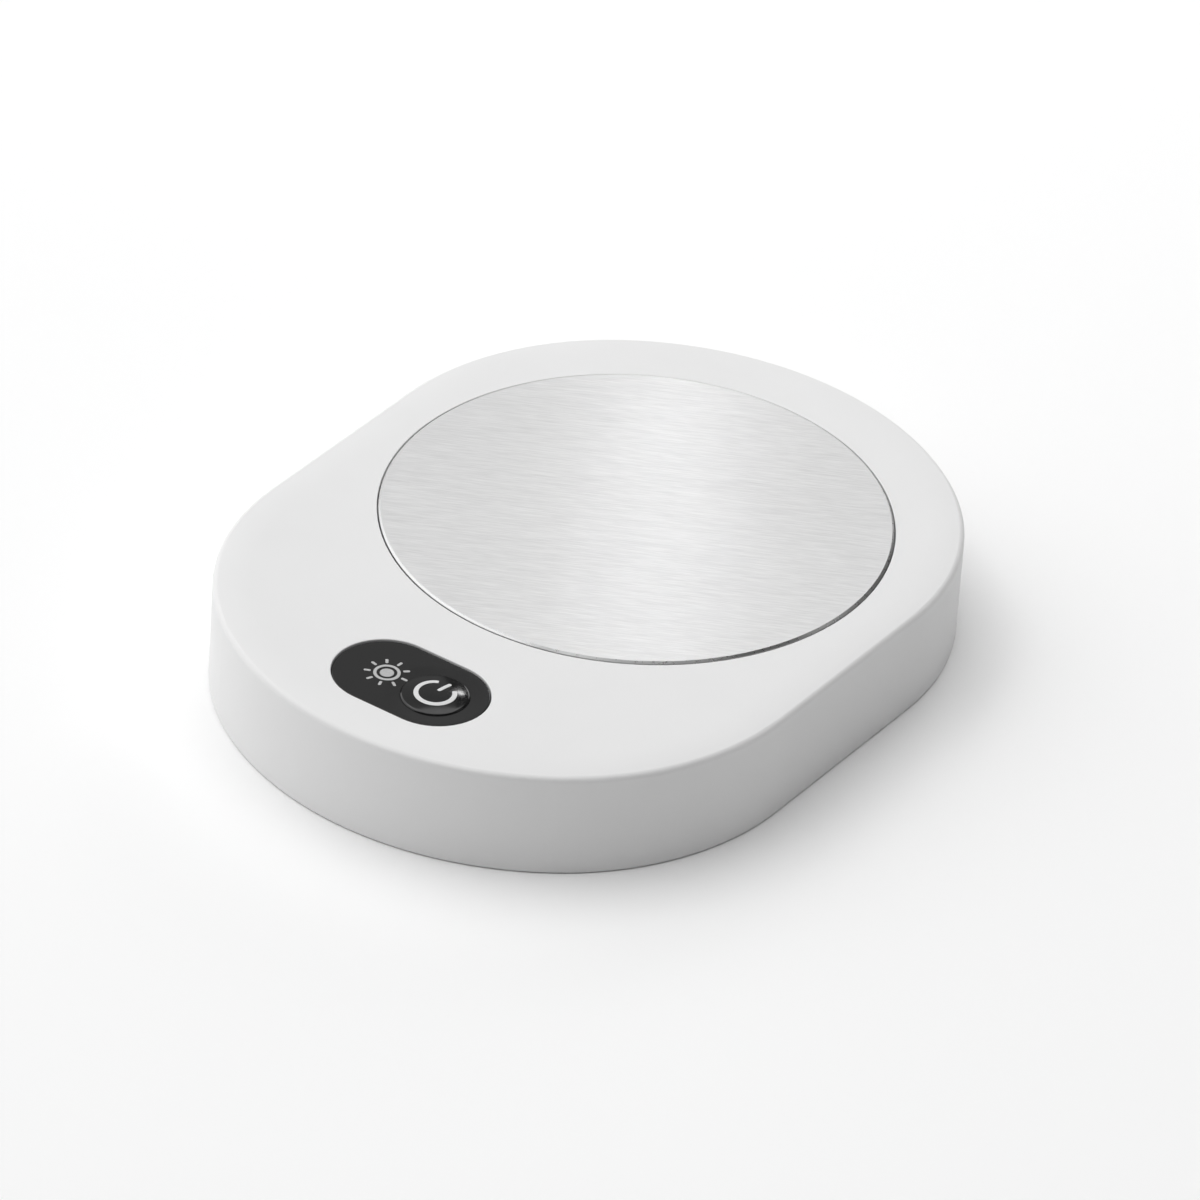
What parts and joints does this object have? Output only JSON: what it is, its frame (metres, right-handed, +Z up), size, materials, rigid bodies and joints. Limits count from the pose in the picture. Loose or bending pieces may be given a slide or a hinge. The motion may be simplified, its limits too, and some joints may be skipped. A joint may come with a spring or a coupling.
{
  "type": "electric mug warmer",
  "caption": "Low electric mug warmer with a round brushed heating plate, a domed power button, an indicator light and a low-voltage inlet at the rear.",
  "frame": {"origin": "centre of the plan outline, on the surface that the feet stand on", "axes": "+Z up, +Y along the length towards the rear end with the inlet, +X to the right seen from the panel end"},
  "size_m": [0.107, 0.14, 0.02],
  "materials": {
    "shell_white": "smooth satin white moulding",
    "cover_white": "fine matt texture",
    "brushed_plate": "straight brushed top, polished rim",
    "silicone_grey": "matt",
    "mica": "mottled",
    "felt": "felted",
    "pan_steel": "zinc plated",
    "screw_steel": "zinc plated",
    "sensor_metal": "plain",
    "panel_charcoal": "satin charcoal",
    "button_black": "polished",
    "lens_clear": "frosted",
    "board_green": "solder mask",
    "switch_black": "matt",
    "contact_metal": "plated",
    "led_clear": "clear",
    "chip_black": "matt",
    "capacitor_metal": "drawn can",
    "connector_white": "matt",
    "lead_red": "insulated wire",
    "lead_black": "insulated wire",
    "lead_white": "glass-braid sleeve",
    "foot_silicone": "matt"
  },
  "bodies": {
    "housing": {"board_resistors": "chip_black", "board_screws": "screw_steel", "bottom_cover": "cover_white", "clamp_pan": "pan_steel", "clamp_screws": "screw_steel", "clip_rivet": "screw_steel", "control_board": "board_green", "control_chip": "chip_black", "control_panel": "panel_charcoal", "cover_screws": "screw_steel", "foot_front_left": "foot_silicone", "foot_front_right": "foot_silicone", "foot_rear_left": "foot_silicone", "foot_rear_right": "foot_silicone", "fuse_clip": "pan_steel", "fuse_lead": "lead_white", "fuse_link": "lead_white", "heater_connector": "connector_white", "heater_disc": "mica", "heater_lead": "lead_white", "heating_plate": "brushed_plate", "indicator_led": "led_clear", "indicator_lens": "lens_clear", "inlet_board": "board_green", "inlet_screws": "screw_steel", "inlet_socket": "contact_metal", "inlet_tongue": "switch_black", "insulation_pad": "felt", "plate_gasket": "silicone_grey", "power_connector": "connector_white", "power_lead_negative": "lead_black", "power_lead_positive": "lead_red", "power_transistor": "chip_black", "sensor_connector": "connector_white", "sensor_leads": "lead_black", "smoothing_capacitor": "capacitor_metal", "switch_body": "switch_black", "switch_cover": "contact_metal", "thermal_fuse": "sensor_metal", "thermistor": "sensor_metal", "top_shell": "shell_white"},
    "button": {"power_button": "button_black"},
    "plunger": {"switch_plunger": "switch_black"}
  },
  "joints": [
    {"name": "button_press", "type": "slide", "parent": "housing", "child": "button", "axis": [0, 0, -1], "range_m": [0, 0.0004], "stiffness_N_per_m": 3000, "springref_m": -0.0002},
    {"name": "plunger_press", "type": "slide", "parent": "housing", "child": "plunger", "axis": [0, 0, -1], "range_m": [0, 0.0004]}
  ],
  "couplings": [
    {"joint": "plunger_press", "follows": "button_press", "ratio": 1}
  ]
}
